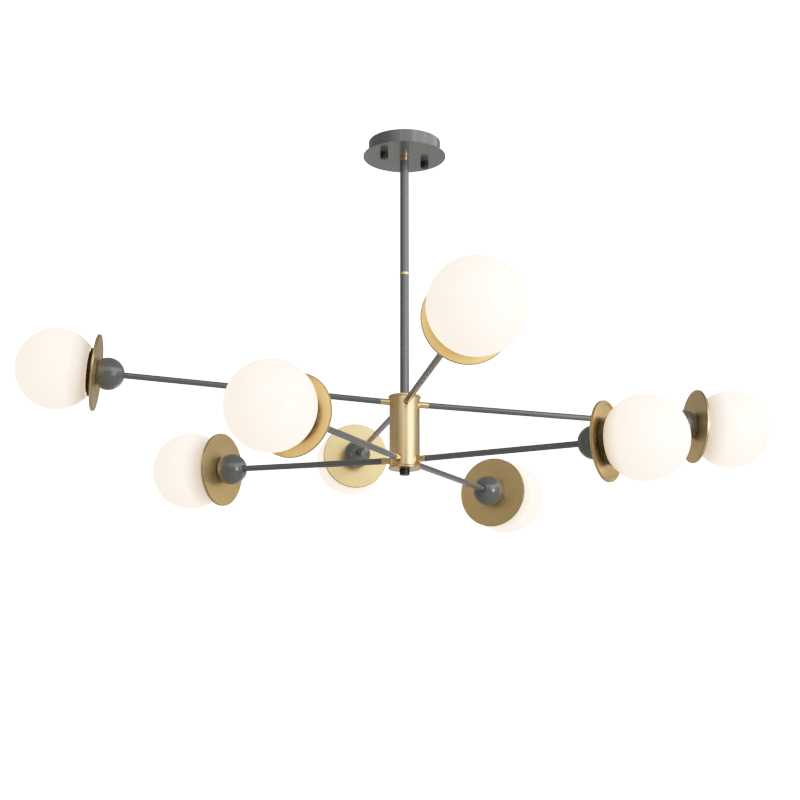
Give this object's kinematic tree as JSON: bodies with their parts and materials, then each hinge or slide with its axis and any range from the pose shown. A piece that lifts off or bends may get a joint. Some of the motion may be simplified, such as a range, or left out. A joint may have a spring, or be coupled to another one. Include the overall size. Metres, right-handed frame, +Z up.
{
  "type": "branch chandelier",
  "caption": "Branch chandelier: a round canopy and rod carry a brass hub whose arms, on two levels, each end in a ball, a brass disc and an opal globe that pulls off.",
  "frame": {"origin": "middle of the ceiling bracket's top face, on the ceiling over the stem", "axes": "+Z up to the ceiling; +X to the right and -Y towards the viewer in the picture"},
  "size_m": [1.1354, 1.1326, 0.5677],
  "materials": {
    "grey_paint": "satin grey-green paint over steel",
    "satin_brass": "satin, lacquered champagne brass",
    "black_nut": "gloss black, knurled",
    "black_gallery": "black heat-resistant moulding, half gloss",
    "opal_glass": "white opal glass, lit from inside",
    "zinc_steel": "bright zinc plate"
  },
  "bodies": {
    "canopy": {"ceiling_bracket": "zinc_steel", "canopy_drum": "grey_paint", "canopy_plate": "grey_paint", "cap_nut_left": "black_nut", "cap_nut_right": "black_nut", "stem_collar": "satin_brass"},
    "stem_and_arms": {"upper_rod": "grey_paint", "rod_ring": "satin_brass", "lower_rod": "grey_paint", "hub_sleeve": "satin_brass", "hub_bottom_cap": "satin_brass", "bottom_nut": "black_nut", "arm_collar_upper_left": "satin_brass", "arm_tube_upper_left": "grey_paint", "ball_upper_left": "grey_paint", "disc_upper_left": "satin_brass", "gallery_upper_left": "black_gallery", "arm_collar_upper_right": "satin_brass", "arm_tube_upper_right": "grey_paint", "ball_upper_right": "grey_paint", "disc_upper_right": "satin_brass", "gallery_upper_right": "black_gallery", "arm_collar_upper_front": "satin_brass", "arm_tube_upper_front": "grey_paint", "ball_upper_front": "grey_paint", "disc_upper_front": "satin_brass", "gallery_upper_front": "black_gallery", "arm_collar_upper_back": "satin_brass", "arm_tube_upper_back": "grey_paint", "ball_upper_back": "grey_paint", "disc_upper_back": "satin_brass", "gallery_upper_back": "black_gallery", "arm_collar_lower_left": "satin_brass", "arm_tube_lower_left": "grey_paint", "ball_lower_left": "grey_paint", "disc_lower_left": "satin_brass", "gallery_lower_left": "black_gallery", "arm_collar_lower_right": "satin_brass", "arm_tube_lower_right": "grey_paint", "ball_lower_right": "grey_paint", "disc_lower_right": "satin_brass", "gallery_lower_right": "black_gallery", "arm_collar_lower_front": "satin_brass", "arm_tube_lower_front": "grey_paint", "ball_lower_front": "grey_paint", "disc_lower_front": "satin_brass", "gallery_lower_front": "black_gallery", "arm_collar_lower_back": "satin_brass", "arm_tube_lower_back": "grey_paint", "ball_lower_back": "grey_paint", "disc_lower_back": "satin_brass", "gallery_lower_back": "black_gallery"},
    "globe_body_upper_left": {"globe_upper_left": "opal_glass"},
    "globe_body_upper_right": {"globe_upper_right": "opal_glass"},
    "globe_body_upper_front": {"globe_upper_front": "opal_glass"},
    "globe_body_upper_back": {"globe_upper_back": "opal_glass"},
    "globe_body_lower_left": {"globe_lower_left": "opal_glass"},
    "globe_body_lower_right": {"globe_lower_right": "opal_glass"},
    "globe_body_lower_front": {"globe_lower_front": "opal_glass"},
    "globe_body_lower_back": {"globe_lower_back": "opal_glass"}
  },
  "joints": [
    {"name": "stem_swivel", "type": "hinge", "parent": "canopy", "child": "stem_and_arms", "pos_m": [0, 0, -0.0236], "axis": [0, 0, 1], "range_deg": [-170, 170]},
    {"name": "globe_upper_left_pull", "type": "slide", "parent": "stem_and_arms", "child": "globe_body_upper_left", "axis": [-0.9924, -0.0921, 0.0819], "range_m": [0, 0.009]},
    {"name": "globe_upper_right_pull", "type": "slide", "parent": "stem_and_arms", "child": "globe_body_upper_right", "axis": [0.9797, 0.1975, -0.0332], "range_m": [0, 0.009]},
    {"name": "globe_upper_front_pull", "type": "slide", "parent": "stem_and_arms", "child": "globe_body_upper_front", "axis": [0.165, -0.9863, -0.0052], "range_m": [0, 0.009]},
    {"name": "globe_upper_back_pull", "type": "slide", "parent": "stem_and_arms", "child": "globe_body_upper_back", "axis": [-0.1907, 0.9813, 0.0262], "range_m": [0, 0.009]},
    {"name": "globe_lower_left_pull", "type": "slide", "parent": "stem_and_arms", "child": "globe_body_lower_left", "axis": [-0.8957, 0.4427, 0.0419], "range_m": [0, 0.009]},
    {"name": "globe_lower_right_pull", "type": "slide", "parent": "stem_and_arms", "child": "globe_body_lower_right", "axis": [0.8711, -0.4908, -0.0157], "range_m": [0, 0.009]},
    {"name": "globe_lower_front_pull", "type": "slide", "parent": "stem_and_arms", "child": "globe_body_lower_front", "axis": [-0.4509, -0.8926, 0.0087], "range_m": [0, 0.009]},
    {"name": "globe_lower_back_pull", "type": "slide", "parent": "stem_and_arms", "child": "globe_body_lower_back", "axis": [0.454, 0.891, 0.0087], "range_m": [0, 0.009]}
  ]
}
